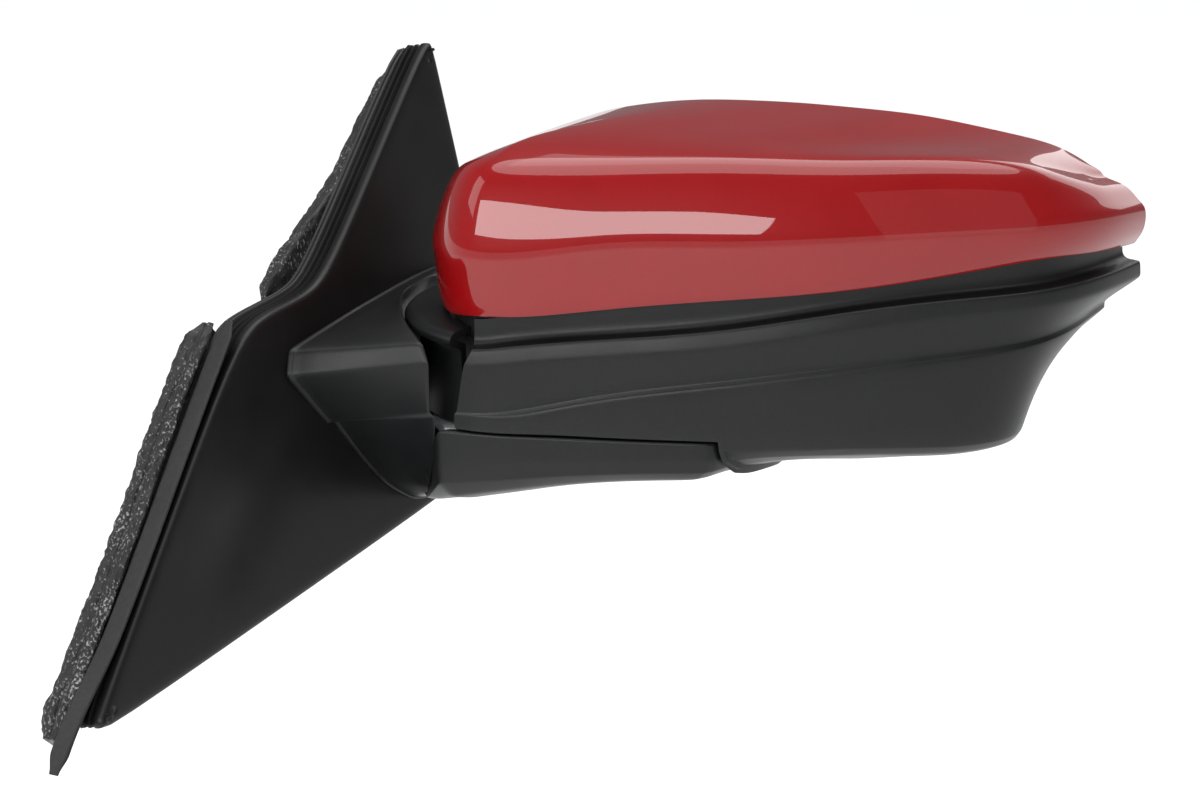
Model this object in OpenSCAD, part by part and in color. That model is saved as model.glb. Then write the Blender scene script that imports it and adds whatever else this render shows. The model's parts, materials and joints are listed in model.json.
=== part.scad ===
// Powered car side mirror, left side of the car, folding about a vertical pivot.
// Frame: +X outboard, +Y rearward, +Z up. The origin is the centre of the stud circle
// on the mounting face of the door base.

/* [Door base] */
// Yaw of the door flange, degrees
flange_yaw = 10; // [8:0.5:12]
// Lean of the door flange towards the car, degrees
flange_lean = 12; // [10:0.5:14]
// Height of the sail cover's skin above the mounting face
sail_height = 16; // [15:0.5:17]
// Diameter of the circle through the mounting studs
stud_circle = 76; // [72:1:80]
// Radius of a mounting stud
stud_r = 3; // [2.5:0.5:4]

/* [Fold pivot] */
// Distance of the fold axis outboard of the stud circle
pivot_x = 89.5; // [89:0.1:90]
// Distance of the fold axis behind the stud circle
pivot_y = 34.5; // [34:0.1:35]
// Height of the fixed blade's flat top
blade_top = 11.8; // [11:0.1:12]
// Radius of the fixed blade's outer end
blade_r = 83.5; // [82:0.5:84]
// Radius of the head's shoulder beside the neck
shoulder_r = 66; // [65:0.5:66]
// Radius of the hollow pivot spindle
spindle_r = 8; // [7.5:0.5:8]

/* [Head] */
// Angle of the head's open rear rim, degrees
rim_sweep = 12; // [11.5:0.1:12.5]
// Wall of the moulded covers
wall = 2.5; // [2:0.1:3]

/* [Glass and its drive] */
// How far the glass sits inside the rim
glass_recess = 12; // [11:0.5:12]
// Thickness of the mirror glass
glass_t = 2; // [1.8:0.1:2.2]
// Distance of each jackscrew from the tilt centre
lever = 23; // [22.5:0.5:23.5]
// Teeth of each drive gear
gear_teeth = 18; // [16:2:20]

/* [Hidden] */
$fn = 48;
gap = 0.8;
eps = 0.01;

// ---- curves and grids ----
function unit(v) = v / norm(v);
function lerp(a, b, f) = a + (b - a) * f;
function clamp(x, lo, hi) = min(max(x, lo), hi);
function at(p, i) = p[clamp(i, 0, len(p) - 1)];
// Smooth curve through a list of numbers or points; t counts the list's items
function spline(p, t) = let(
    i = floor(clamp(t, 0, len(p) - 1.001)), f = t - i,
    a = at(p, i - 1), b = at(p, i), c = at(p, i + 1), d = at(p, i + 2))
    (b * 2 + (c - a) * f + (a * 2 - b * 5 + c * 4 - d) * f * f
     + (b * 3 - a - c * 3 + d) * f * f * f) / 2;
// Outline with each corner turned into an arc of its own radius
function corner(a, b, c, r, k) = let(
    u = unit(a - b), w = unit(c - b), half = acos(u * w) / 2,
    mid = b + unit(u + w) * r / sin(half),
    p = b + u * r / tan(half) - mid, q = b + w * r / tan(half) - mid,
    from = atan2(p.y, p.x), turn = (atan2(q.y, q.x) - from + 540) % 360 - 180)
    [for (i = [0:k]) mid + r * [cos(from + turn * i / k), sin(from + turn * i / k)]];
function rounded(p, r, k = 5) = let(n = len(p)) [for (i = [0:n - 1])
    each corner(p[(i + n - 1) % n], p[i], p[(i + 1) % n], is_list(r) ? r[i] : r, k)];
// The same outline, grown outwards by g
function grown(p, g) = let(n = len(p)) [for (i = [0:n - 1]) let(
    a = unit(p[i] - p[(i + n - 1) % n]), b = unit(p[(i + 1) % n] - p[i]))
    p[i] + ([a.y, -a.x] + [b.y, -b.x]) * g / (1 + a * b)];

// Closed shell between an outer and an inner grid of points; wrap joins last row to first
module shell(outer, inner, wrap = false) {
    m = len(outer);
    n = len(outer[0]);
    rows = wrap ? m : m - 1;
    function id(i, j) = (i % m) * n + j;
    function two(a, b, c, d) = [[a, b, c], [a, c, d]];
    polyhedron(concat([for (r = outer) each r], [for (r = inner) each r]), concat(
        [for (i = [0:rows - 1], j = [0:n - 2])
            each two(id(i, j), id(i, j + 1), id(i + 1, j + 1), id(i + 1, j))],
        [for (i = [0:rows - 1], j = [0:n - 2]) each two(m * n + id(i + 1, j),
            m * n + id(i + 1, j + 1), m * n + id(i, j + 1), m * n + id(i, j))],
        [for (i = [0:rows - 1]) each two(id(i, 0), id(i + 1, 0), m * n + id(i + 1, 0), m * n + id(i, 0))],
        [for (i = [0:rows - 1]) each two(id(i + 1, n - 1), id(i, n - 1), m * n + id(i, n - 1),
            m * n + id(i + 1, n - 1))],
        wrap ? [] : [for (j = [0:n - 2]) each two(id(0, j + 1), id(0, j), m * n + id(0, j),
            m * n + id(0, j + 1))],
        wrap ? [] : [for (j = [0:n - 2]) each two(id(m - 1, j), id(m - 1, j + 1), m * n + id(m - 1, j + 1),
            m * n + id(m - 1, j))]));
}

// ---- frames of the door flange, the rear rim and the pivot ----
module sail() rotate([0, -flange_lean, -flange_yaw]) rotate([90, 0, 90]) children();
sail_u = [sin(flange_yaw), cos(flange_yaw), 0];
sail_n = [cos(flange_lean) * cos(flange_yaw), -cos(flange_lean) * sin(flange_yaw), sin(flange_lean)];
sail_v = [-sin(flange_lean) * cos(flange_yaw), sin(flange_lean) * sin(flange_yaw), cos(flange_lean)];
function on_sail(u, v, n) = u * sail_u + v * sail_v + n * sail_n;

rim_x = 170;
rim_z = 58;
function rim_y(x) = 74 + (x - 78) * tan(rim_sweep);
rim_along = [cos(rim_sweep), sin(rim_sweep)];
module rear() translate([rim_x, rim_y(rim_x), rim_z]) rotate([0, 0, rim_sweep]) children();
module slab(y_back, t) translate([0, y_back, 0]) rotate([90, 0, 0]) linear_extrude(t) children();
// Cylinder along the rear frame's own +Y
module rod(y0, y1, r) translate([0, y0, 0]) rotate([-90, 0, 0]) cylinder(h = y1 - y0, r = r);

module pivot() translate([pivot_x, pivot_y, 0]) children();
function about_pivot(angle, r) = [pivot_x + r * cos(angle), pivot_y + r * sin(angle)];

// ---- plan and heights of the head, from its inner rim end round the front to the outer tip ----
cap_plan = [[40, 65.9], [38, 42], [39, 22], [42, 8], [50, -6], [62, -19.5], [76, -27], [92, -26.3],
    [126, -15], [168, 0], [208, 18], [246, 40], [272, 61], [287, 90], [292, 119.5]];
cap_edge_z = [77, 76, 76, 76, 77, 78, 79, 80, 85, 87, 89, 91, 91.5, 90, 87];
cap_low_z = [53, 52.5, 52, 52, 52.5, 54, 56, 57, 61, 66, 70, 76, 80, 79, 77];
cap_crease_z = [104, 104, 105, 106, 109, 112, 113, 114, 116, 118, 118, 118, 114, 106, 101.5];
top_rim = [[60, 109], [70, 114], [86, 119.5], [112, 124], [144, 125.5], [198, 123.5], [236, 118],
    [258, 113], [271, 106]];
cap_last = len(cap_plan) - 1;
function tangent(p, t) = unit(spline(p, t + 0.05) - spline(p, t - 0.05));
function end_blend(t, last) = clamp(1 - min(t, last - t), 0, 1);
// Inward direction in plan, turned along the rim where the outline ends at it
function inward(p, t, at_start = false) = let(last = len(p) - 1, d = tangent(p, clamp(t, 0.1, last - 0.1)),
    side = t < last / 2 ? 1 : -1)
    unit(lerp([-d.y, d.x], side * rim_along, at_start || t > 1 ? end_blend(t, last) : 0));
function rim_point(t, last, z_drop) = let(q = spline(top_rim, t / last * (len(top_rim) - 1)))
    [q.x, rim_y(q.x), q.y - z_drop];
// One row of the cap's surface, t along the outline and s inside the outer skin
function cap_row(t, s) = let(
    o = spline(cap_plan, t), d = inward(cap_plan, t, at_start = true),
    edge = spline(cap_edge_z, t), low = spline(cap_low_z, t), crease = spline(cap_crease_z, t),
    c = o + d * (14 + s), top = rim_point(t, cap_last, s),
    mid = lerp(c + d * 16, (c + [top.x, top.y]) / 2, max(end_blend(t, cap_last), clamp((t - 10) / 2, 0, 1))),
    c3 = [c.x, c.y, crease - s], m3 = [mid.x, mid.y, lerp(crease, top.z, 0.55)])
    concat(
        [for (k = [[4, low], [2.5, low + 3], [0.4, edge - 4], [0.2, edge + 4],
            [3.5, lerp(edge, crease, 0.45)], [7.5, lerp(edge, crease, 0.8)]])
            [o.x + d.x * (k[0] + s), o.y + d.y * (k[0] + s), k[1] - s * (k[1] - low) / (crease - low)]],
        [for (f = [0, 0.2, 0.4, 0.6, 0.8, 1]) let(g = 1 - f) c3 * g * g + m3 * 2 * f * g + top * f * f]);

module painted_cap()
    color([0.62, 0.03, 0.06]) shell(
        [for (i = [0:28]) cap_row(i / 2, 0)],
        [for (i = [0:28]) cap_row(i / 2, wall)]);

// Lower housing, from under the cap down to the fold gap
low_plan = [[73, -29.4], [84, -28.6], [105, -21.8], [126, -15], [168, 0], [208, 18], [246, 40],
    [272, 61], [286, 90], [291, 119.3]];
low_top_z = [54.5, 55.8, 62, 66, 71, 75, 80, 84, 83, 80];
low_ledge_z = [44, 45, 47.5, 50, 55, 62, 67, 69, 70, 70];
low_groove_z = [20, 21, 25, 30, 37, 43, 48, 51, 53, 54];
low_end_in = [0, 0, 0, 0, 0, 0, 0, 8, 24, 34];
low_last = len(low_plan) - 1;
gap_roof = blade_top + gap;
function low_point(t, inset, z) = let(o = spline(low_plan, t) + inward(low_plan, t) * inset) [o.x, o.y, z];
function wall_row(t, s, floor = 0) = let(ledge = spline(low_ledge_z, t), groove = spline(low_groove_z, t),
    tuck = spline(low_end_in, t))
    [for (k = [[7.5, spline(low_top_z, t)], [7.5, ledge + 1 - s], [0, ledge - s], [0, ledge - 6],
        [0.6 + 0.35 * tuck, groove], [0.4 * tuck, groove - 3], [tuck * 1.6, gap_roof + floor]])
        low_point(t, k[0] + s, k[1])];

// Outboard of the blade the wall runs on down and under, as far as the rear rim. Its first row
// follows the arc round the blade's end.
belly_first = 4;
belly_turn_in = [14, 15, 18, 28, 47, 62];
belly_turn_z = [-3, 3, 3, 4, 4, 3.5];
belly_rim = [[153, -14], [174, -13], [200, -9], [214, -4.5], [223, 0], [230, 3.5]];
arc_start = -24;
arc_end = 41;
arc_slack = 1.5;
function belly_row(f, s) = let(
    t = lerp(belly_first, low_last, f), o = spline(low_plan, t), d = inward(low_plan, t),
    tuck = spline(low_end_in, t) * 1.6, turn = spline(belly_turn_in, f * 5), z = spline(belly_turn_z, f * 5),
    rim = spline(belly_rim, f * 5), c = o + d * turn, m = c + d * 12, bend = clamp(f * 4, 0, 1),
    from = arc_start + turn / blade_r * 180 / PI)
    concat(
        [for (k = [[lerp(tuck, turn, 0.12), lerp(gap_roof, z, 0.4)],
                   [lerp(tuck, turn, 0.45), lerp(gap_roof, z, 0.8)]])
            let(a = about_pivot(arc_start + k[0] / blade_r * 180 / PI, blade_r + arc_slack + s),
                q = lerp(a, o + d * (k[0] + s), bend))
            [q.x, q.y, k[1] + s * (gap_roof - k[1]) / (gap_roof - z)]],
        [for (g = [0, 0.25, 0.5, 0.75, 1]) let(h = 1 - g,
            a = about_pivot(lerp(from, arc_end, g), blade_r + arc_slack + s),
            b = c * h * h + m * 2 * g * h + [rim.x, rim_y(rim.x)] * g * g, q = lerp(a, b, bend))
            [q.x, g == 1 ? rim_y(q.x) : q.y, lerp(z, rim.y, g) + s]]);

// Over the blade the wall turns in to a narrow floor; the next row drops along the blade's end
floor_rows = 12;
belly_rows = 16;
function lower_row(i, s) =
    i < floor_rows
    ? concat(wall_row(i / 3, s, s), [for (j = [1:7]) low_point(i / 3, s + j * 2, gap_roof + s)])
    : i == floor_rows
    ? concat(wall_row(belly_first - 0.03, s, s), [for (p = belly_row(0, s)) [p.x, p.y, gap_roof + s]])
    : let(f = (i - floor_rows - 1) / (belly_rows - 1))
        concat(wall_row(lerp(belly_first, low_last, f), s), belly_row(f, s));

module lower_housing()
    color([0.08, 0.08, 0.085]) shell(
        [for (i = [0:floor_rows + belly_rows]) lower_row(i, 0)],
        [for (i = [0:floor_rows + belly_rows]) lower_row(i, wall)]);

// Round top of the head beside the neck, concentric with the fold axis
module shoulder_cover()
    color([0.08, 0.08, 0.085]) pivot() rotate([0, 0, 155]) rotate_extrude(angle = 97.6, $fn = 96)
        polygon([[shoulder_r - 6, gap_roof], [shoulder_r - 6, 41], [shoulder_r, 44], [shoulder_r, 47],
            [shoulder_r - 2, 49.5], [40, 51.2], [40, 51.2 - wall], [shoulder_r - 6 - wall, 47],
            [shoulder_r - 6 - wall, gap_roof]]);

// ---- fixed neck and blade ----
neck_r = shoulder_r + 4;
neck_root = [[-34, 34], [-38, 24], [-21, 2], [-18, -2], [-2, -21], [12, -34], [28, -42], [60, -36],
    [76, -20], [80, 4], [80, 20], [76, 50], [56, 50], [12, 43]];
// Angle, height and radius of the neck's end; below the blade's top it ends nearer the pivot
blade_root_r = shoulder_r - 8;
neck_end = [[245.4, 45, neck_r], [248.5, 38, neck_r], [248, 18.5, neck_r], [249, 15.5, neck_r],
    [248, -6, neck_r], [240, -17, 67], [215, -27.5, blade_root_r], [180, -34, blade_root_r],
    [163, -24, blade_root_r], [163, 1, blade_root_r], [163, 11, neck_r], [165, 50, neck_r],
    [185, 52.5, neck_r], [215, 50.5, neck_r]];
neck_port = [188, -3, neck_r];
neck_cuts = 3;
function loop_at(p, t) = let(i = floor(t), n = len(p)) lerp(p[i % n], p[(i + 1) % n], t - i);
function end_point(p, s) = let(q = about_pivot(p.x, p.z + s)) [q.x, q.y, p.y];
function neck_row(t, s) = let(
    skin = loop_at(neck_root, t), open = loop_at(neck_end, t),
    root = skin + unit([22, 0] - skin) * s,
    end = open + unit([neck_port.x, 12, open.z] - open) * s,
    a = on_sail(root.x, root.y, sail_height), b = end_point(end, s))
    [a, lerp(a, b, 0.5), b, end_point(lerp(neck_port, open, 0.55), s)];
neck_rows = len(neck_root) * neck_cuts;
module neck_cover()
    color([0.08, 0.08, 0.085]) shell(
        [for (i = [0:neck_rows - 1]) neck_row(i / neck_cuts, 0)],
        [for (i = [0:neck_rows - 1]) neck_row(i / neck_cuts, wall)], wrap = true);

// Plan outline of the blade with its rim height: front line, outer end, rear line, and the low sill
// that the bracket's arm passes over
sill = -17;
blade_plan = concat(
    [for (p = [about_pivot(248.6, neck_r), [84, -28.4], [105, -21.6], [126, -14.8], [147, -7.5], [162, -2]])
        [p.x, p.y, blade_top]],
    [for (a = [-24:9:39]) let(p = about_pivot(a, blade_r)) [p.x, p.y, blade_top]],
    [for (x = [140, 115, 90, 60]) [x, rim_y(x) - 4, blade_top]],
    [for (a = [163:9:240]) let(p = about_pivot(a, blade_root_r + max(a - 215, 0) * 0.36)) [p.x, p.y, sill]]);
blade_mid = [100, 32];
// Height of the blade's curved underside
function under(x, y) = let(out = x - 67)
    -19.5 + 0.24 * out - 0.00098 * out * out - 0.1 * max(0, y + 40 - 0.335 * x);
function blade_row(p, s) = let(
    edge = [p.x, p.y], d = unit(blade_mid - edge), span = norm(blade_mid - edge) - 5)
    [for (k = [[0, 1, 0], [0, 0.45, 0], [3, 0.2, 0.6], [12, 0, 1], [span * 0.55, 0, 1], [span - s, 0, 1]])
        let(q = edge + d * (k[0] + (k[0] < span * 0.5 ? s : 0)))
        [q.x, q.y, lerp(under(q.x, q.y), p.z, k[1]) + s * k[2]]];
module blade_cover()
    color([0.08, 0.08, 0.085]) shell(
        [for (p = blade_plan) blade_row(p, 0)],
        [for (p = blade_plan) blade_row(p, wall)], wrap = true);

// ---- door base ----
skin_plan = [[-168, -81], [92, -32], [84, 81], [79.5, 144], [-9, 55], [-56, 48]];
skin_r = [5, 10, 60, 3.5, 10, 14];
plate_plan = [[-52, -34], [50, -32], [60, 30], [56, 76], [20, 56], [-10, 42], [-52, -6]];
pad_r = 9.5;
stud_angles = [90, 210, 330];
// The shank pressed into the bracket is thicker than the stud's thread
shank_step = 0.5;
cover_screws = [[-38, 14], [52, -22], [50, 62]];
// Opening in the skin for the bracket's arm, hidden under the neck
arm_window = [[-10, 0], [0, -15], [14, -27], [60, -30], [66, 14], [-10, 14]];
function on_circle(a, r) = r * [cos(a), sin(a)];
grommet_r = 6;
// Free thickness of the foam, which the door squeezes flat
foam_t = 8;
lip_low = 7;

module sail_cover()
    color([0.09, 0.09, 0.095]) sail() difference() {
        translate([0, 0, 4]) linear_extrude(sail_height - 4) polygon(rounded(skin_plan, skin_r));
        translate([0, 0, 3]) linear_extrude(sail_height - 3 - wall)
            polygon(rounded(grown(skin_plan, -wall), [for (r = skin_r) max(r - wall, 2)]));
        linear_extrude(30) polygon(arm_window);
    }

module seal_frame()
    color([0.05, 0.05, 0.055]) sail() difference() {
        union() {
            linear_extrude(4) polygon(rounded(grown(skin_plan, 1.5), 6));
            linear_extrude(6.5) polygon(rounded(grown(skin_plan, -3.5), 4));
        }
        translate([0, 0, -1]) linear_extrude(9) polygon(rounded(grown(skin_plan, -8), 4));
    }

module foam_gasket_upper()
    color([0.03, 0.03, 0.03]) sail() translate([0, 0, -foam_t]) linear_extrude(foam_t)
        polygon([[74, 132], [68, 131], [-22, 62], [-20, 56], [-4, 57], [74, 121]]);

// The lower gasket also stands up outside the seal frame, as far as the rubber lip
module foam_gasket_lower()
    color([0.03, 0.03, 0.03]) sail() {
        translate([0, 0, -foam_t]) linear_extrude(foam_t)
            polygon([[-46, 46], [-59.8, 51.3], [-171.8, -77.7], [-162, -79], [-150, -76], [-46, 36]]);
        translate([0, 0, -1]) linear_extrude(lip_low + 0.8)
            polygon([[-57.2, 49], [-60.5, 52], [-172.5, -77], [-169.2, -80]]);
    }

module rubber_lip()
    color([0.04, 0.04, 0.045]) sail() translate([0, 0, lip_low]) linear_extrude(sail_height - 1 - lip_low)
        polygon([[-57.2, 50], [-58.9, 51.4], [-170, -76.5], [-178, -90], [-168.4, -79]]);

module retaining_clips()
    color([0.85, 0.85, 0.8]) sail() for (p = [[-140, -71.5], [-60, -57], [84, 20], [75, 108]])
        translate([p.x, p.y, -8]) {
            cylinder(h = 3, r = 2);
            translate([0, 0, 3]) cylinder(h = 3, r = 3);
            translate([0, 0, 6]) cylinder(h = 2, r = 2);
        }

arm_plan = [[0, 4], [70, 20], [89.5, 16], [89.5, 53], [70, 48], [0, 32]];
// Underside of the bracket's hub, on which the spindle's flange bears
hub_under = -11;
module base_bracket()
    color([0.55, 0.56, 0.58]) difference() {
        union() {
            sail() {
                translate([0, 0, 4]) linear_extrude(5) polygon(rounded(plate_plan, 8));
                for (a = stud_angles) translate(on_circle(a, stud_circle / 2)) cylinder(h = 5, r = pad_r);
            }
            difference() {
                translate([0, 0, -14]) linear_extrude(22) polygon(arm_plan);
                translate([0, 0, hub_under]) linear_extrude(22) polygon(grown(arm_plan, -3));
                sail() translate([-200, -200, -96]) cube([400, 400, 100]);
            }
            pivot() translate([0, 0, hub_under]) cylinder(h = 8 - hub_under, r = 20);
            translate([0, 0, blade_top - 3.8]) linear_extrude(3.8)
                polygon([for (p = blade_plan) let(q = [p.x, p.y]) q + unit(blade_mid - q) * 4.5]);
        }
        pivot() translate([0, 0, -20]) cylinder(h = 40, r = spindle_r);
        sail() {
            translate([0, 0, -1]) cylinder(h = 14, r = grommet_r + 3);
            for (a = stud_angles) translate([0, 0, -1]) translate(on_circle(a, stud_circle / 2))
                cylinder(h = 8, r = stud_r + shank_step);
            for (p = cover_screws) translate([p.x, p.y, 3]) cylinder(h = 7, r = 2);
        }
    }

module mounting_studs()
    color([0.75, 0.73, 0.68]) sail() for (a = stud_angles) translate(on_circle(a, stud_circle / 2))
        translate([0, 0, -22]) {
            cylinder(h = 22, r = stud_r);
            translate([0, 0, 22]) cylinder(h = 7, r = stud_r + shank_step);
        }

module base_screws()
    color([0.7, 0.7, 0.72]) sail() for (p = cover_screws) translate(p) {
        translate([0, 0, 1.5]) cylinder(h = 2.5, r = 4.5);
        translate([0, 0, 4]) cylinder(h = 9, r = 2);
    }

module wire_grommet()
    color([0.04, 0.04, 0.04]) sail() difference() {
        union() {
            translate([0, 0, -5]) cylinder(h = 9, r = grommet_r + 6);
            translate([0, 0, 4]) cylinder(h = 5, r = grommet_r + 3);
            translate([0, 0, 9]) cylinder(h = 2.5, r = grommet_r + 5);
        }
        translate([0, 0, -6]) cylinder(h = 19, r = grommet_r);
    }

// ---- fold pivot ----
hub_low = 16;
hub_top = 40;
hub_r = 12;
detent_angles = [90, 210, 330];
module ring(z0, z1, r0, r1) translate([0, 0, z0]) difference() {
    cylinder(h = z1 - z0, r = r1);
    translate([0, 0, -1]) cylinder(h = z1 - z0 + 2, r = r0);
}
module detent_ring()
    color([0.6, 0.6, 0.62]) pivot() {
        ring(blade_top, 13.4, spindle_r + 3, 20);
        for (a = detent_angles) rotate([0, 0, a - 10]) rotate_extrude(angle = 20)
            translate([13, 13.4]) square([5, 1.2]);
    }
module detent_cam()
    color([0.62, 0.6, 0.55]) pivot() difference() {
        ring(14.8, 18, spindle_r + 4.2, 20);
        for (a = detent_angles) rotate([0, 0, a - 13]) rotate_extrude(angle = 26)
            translate([12.8, 14]) square([5.4, 1.6]);
    }
module pivot_spindle()
    color([0.7, 0.7, 0.72]) pivot() {
        ring(hub_under - 1.6, 60, spindle_r - 2, spindle_r);
        ring(hub_under - 1.6, hub_under, spindle_r - 2, spindle_r + 4);
    }
module thrust_washer()
    color([0.8, 0.76, 0.55]) pivot() ring(hub_top + 0.3, hub_top + 1.8, spindle_r + 0.05, hub_r);
module spring_retainer() color([0.65, 0.65, 0.66]) pivot() ring(56.3, 58.3, spindle_r, hub_r);

coil_turns = 4.5;
coil_steps = 18;
coil_r = spindle_r + 1.7;
function coil_ring(k, r) = let(a = 360 * k / coil_steps, z = hub_top + 3 + 12 * k / (coil_turns * coil_steps))
    [for (b = [0:60:300]) let(out = coil_r + r * cos(b)) [out * cos(a), out * sin(a), z + r * sin(b)]];
module fold_spring() color([0.45, 0.46, 0.48]) pivot() {
    n = coil_turns * coil_steps;
    polyhedron([for (k = [0:n]) each coil_ring(k, 1.1)], concat(
        [for (k = [0:n - 1], b = [0:5]) each [
            [k * 6 + b, (k + 1) * 6 + b, (k + 1) * 6 + (b + 1) % 6],
            [k * 6 + b, (k + 1) * 6 + (b + 1) % 6, k * 6 + (b + 1) % 6]]],
        [[0, 1, 2, 3, 4, 5]], [[for (b = [5:-1:0]) n * 6 + b]]));
}

// ---- inside of the head ----
tilt_x = 8;
tilt_z = 2;
glass_back = -glass_recess - glass_t;
heater_t = 0.8;
holder_t = 2.5;
holder_front = glass_back - heater_t - holder_t;
tilt_y = holder_front - 4.7;
cover_back = tilt_y - 7;
cover_t = 2.5;
case_depth = 24.5;
case_front = cover_back - cover_t - case_depth;
case_w = 76;
case_wall = 2.2;
case_h = 72;
frame_t = 4;
module tilt() translate([tilt_x, 0, tilt_z]) children();
frame_plan = [[-118, -36], [-60, -40], [50, -36], [54, 20], [44, 46], [-40, 46], [-118, 22]];
actuator_corners = [[-33, -31], [33, -31], [33, 31], [-33, 31]];
bezel_fixings = [[-112, 14], [-112, -26]];

module head_frame()
    color([0.2, 0.2, 0.21]) difference() {
        union() {
            rear() slab(case_front, frame_t) polygon(rounded(frame_plan, 6));
            pivot() ring(hub_low, hub_top, spindle_r + 0.05, hub_r);
            rear() translate([-101, case_front - 1, hub_low + 2 - rim_z]) cube([20, 13, 20]);
            rear() for (p = bezel_fixings) translate([p.x, 0, p.y]) rod(case_front, bezel_post, 3.5);
        }
        pivot() translate([0, 0, hub_low - 5]) cylinder(h = 40, r = spindle_r + 0.05);
        pivot() translate([0, 0, 13]) cylinder(h = 5, r = 20.2);
        rear() for (p = bezel_fixings) translate([p.x, 0, p.y]) rod(bezel_post - 10, bezel_post + 1, 1.5);
        rear() tilt() {
            translate([-20, case_front - 10, -14]) cube([40, 20, 28]);
            for (p = actuator_corners) translate([p.x, 0, p.y]) rod(case_front - 10, case_front + 2, 1.5);
        }
    }

// The bezel fills the rim: up the cap's inner end, over the top, down the outer end and belly
bezel_slack = wall + 1.5;
bezel_post = -6.5;
function in_rear(p) = [(p.x - rim_x) / cos(rim_sweep), p.z - rim_z];
bezel_plan = [for (p = concat(
    [for (j = [0:6]) cap_row(0, bezel_slack)[j]],
    [for (t = [1:cap_last - 1]) rim_point(t, cap_last, bezel_slack)],
    [for (j = [6:-1:2]) cap_row(cap_last, bezel_slack)[j]],
    [for (j = [0:6]) wall_row(low_last, bezel_slack)[j] + [0, 0, j == 0 ? 1.5 : 0]],
    [for (f = [1:-0.1:0.2]) belly_row(f, bezel_slack + 0.5)[6]],
    [[158, 0, -9.5], [158, 0, gap_roof + 4], [150, 0, gap_roof + 4], [150, 0, gap_roof + 1],
        [36, 0, gap_roof + 1], [36, 0, 44]])) in_rear(p)];
module rear_bezel()
    color([0.07, 0.07, 0.075]) rear() difference() {
        union() {
            slab(-0.5, 3) polygon(bezel_plan);
            slab(-0.6, 12) polygon(glass_outline(6.6));
        }
        translate([0, 5, 0]) slab(0, 30) polygon(glass_outline(4.6));
        for (p = bezel_fixings) translate([p.x, 0, p.y]) rod(bezel_post, 1, 3.2);
    }
glass_pts = [[-82, -20], [50, -42], [96, 14], [75, 42], [4, 52], [-82, 45]];
glass_r = [22, 20, 22, 20, 60, 20];
function glass_outline(g) = rounded(grown(glass_pts, g), [for (r = glass_r) r + g], 6);

module mirror_glass() color([0.75, 0.8, 0.85]) rear() slab(-glass_recess, glass_t) polygon(glass_outline(-1));
module heater_pad() color([0.25, 0.2, 0.15]) rear() slab(glass_back, heater_t) polygon(glass_outline(-6));
socket_r = 5.6;
ball_r = 3.6;
ear_in = 13.4;
ear_t = 2.6;
pin_r = 1.5;
module glass_holder()
    color([0.06, 0.06, 0.065]) rear() difference() {
        union() {
            slab(glass_back - heater_t, holder_t) polygon(glass_outline(0));
            slab(-glass_recess - 0.3, glass_t + heater_t) polygon(glass_outline(0));
            tilt() {
                for (p = [[0, lever], [lever, 0]]) translate([p.x, 0, p.y])
                    rod(tilt_y - 1, holder_front, socket_r);
                for (m = [-1, 1]) translate([-3.5, tilt_y - 2.8, m > 0 ? ear_in : -ear_in - ear_t])
                    cube([7, 2.8 + holder_front - tilt_y + eps, ear_t]);
            }
        }
        slab(-glass_recess + 1, glass_t + heater_t + 1) polygon(glass_outline(-1));
        tilt() {
            for (p = [[0, lever], [lever, 0]]) translate([p.x, 0, p.y])
                rod(tilt_y - 3, tilt_y + 4.2, ball_r + 0.6);
            translate([0, tilt_y, -30]) cylinder(h = 60, r = pin_r + 0.05, $fn = 24);
        }
    }

module gimbal_ring()
    color([0.8, 0.8, 0.78]) rear() tilt() {
        difference() {
            rod(tilt_y - 2, tilt_y + 2, 12.4);
            rod(tilt_y - 3, tilt_y + 3, 9);
        }
        for (m = [-1, 1]) {
            translate([0, tilt_y, m > 0 ? 11 : -15.8]) cylinder(h = 4.8, r = pin_r);
            translate([m > 0 ? 11 : -15.8, tilt_y, 0]) rotate([0, 90, 0]) cylinder(h = 4.8, r = pin_r);
        }
    }

module actuator_housing()
    color([0.12, 0.12, 0.13]) rear() tilt() difference() {
        translate([-case_w / 2, case_front, -case_h / 2]) cube([case_w, case_depth, case_h]);
        translate([case_wall - case_w / 2, case_front + case_wall, case_wall - case_h / 2])
            cube([case_w - 2 * case_wall, case_depth, case_h - 2 * case_wall]);
    }
module actuator_cover()
    color([0.14, 0.14, 0.15]) rear() tilt() difference() {
        union() {
            translate([-case_w / 2, cover_back - cover_t, -case_h / 2]) cube([case_w, cover_t, case_h]);
            for (m = [-1, 1]) translate([m > 0 ? ear_in : -ear_in - ear_t, cover_back - 1, -3])
                cube([ear_t, tilt_y + 3.1 - cover_back, 6]);
        }
        for (p = [[0, lever], [lever, 0]]) translate([p.x, 0, p.y]) rod(cover_back - 5, cover_back + 1, 5.5);
        translate([-30, tilt_y, 0]) rotate([0, 90, 0]) cylinder(h = 60, r = pin_r + 0.05);
    }
module actuator_screws()
    color([0.7, 0.7, 0.72]) rear() tilt() for (p = actuator_corners) translate([p.x, 0, p.y]) {
        rod(case_front - frame_t, case_front, 1.5);
        rod(case_front - frame_t - 2, case_front - frame_t, 3);
    }
module bezel_screws()
    color([0.7, 0.7, 0.72]) rear() for (p = bezel_fixings) translate([p.x, 0, p.y]) {
        rod(bezel_post - 9, bezel_post + 3, 1.5);
        rod(bezel_post + 3, bezel_post + 4.6, 3);
    }

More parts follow.
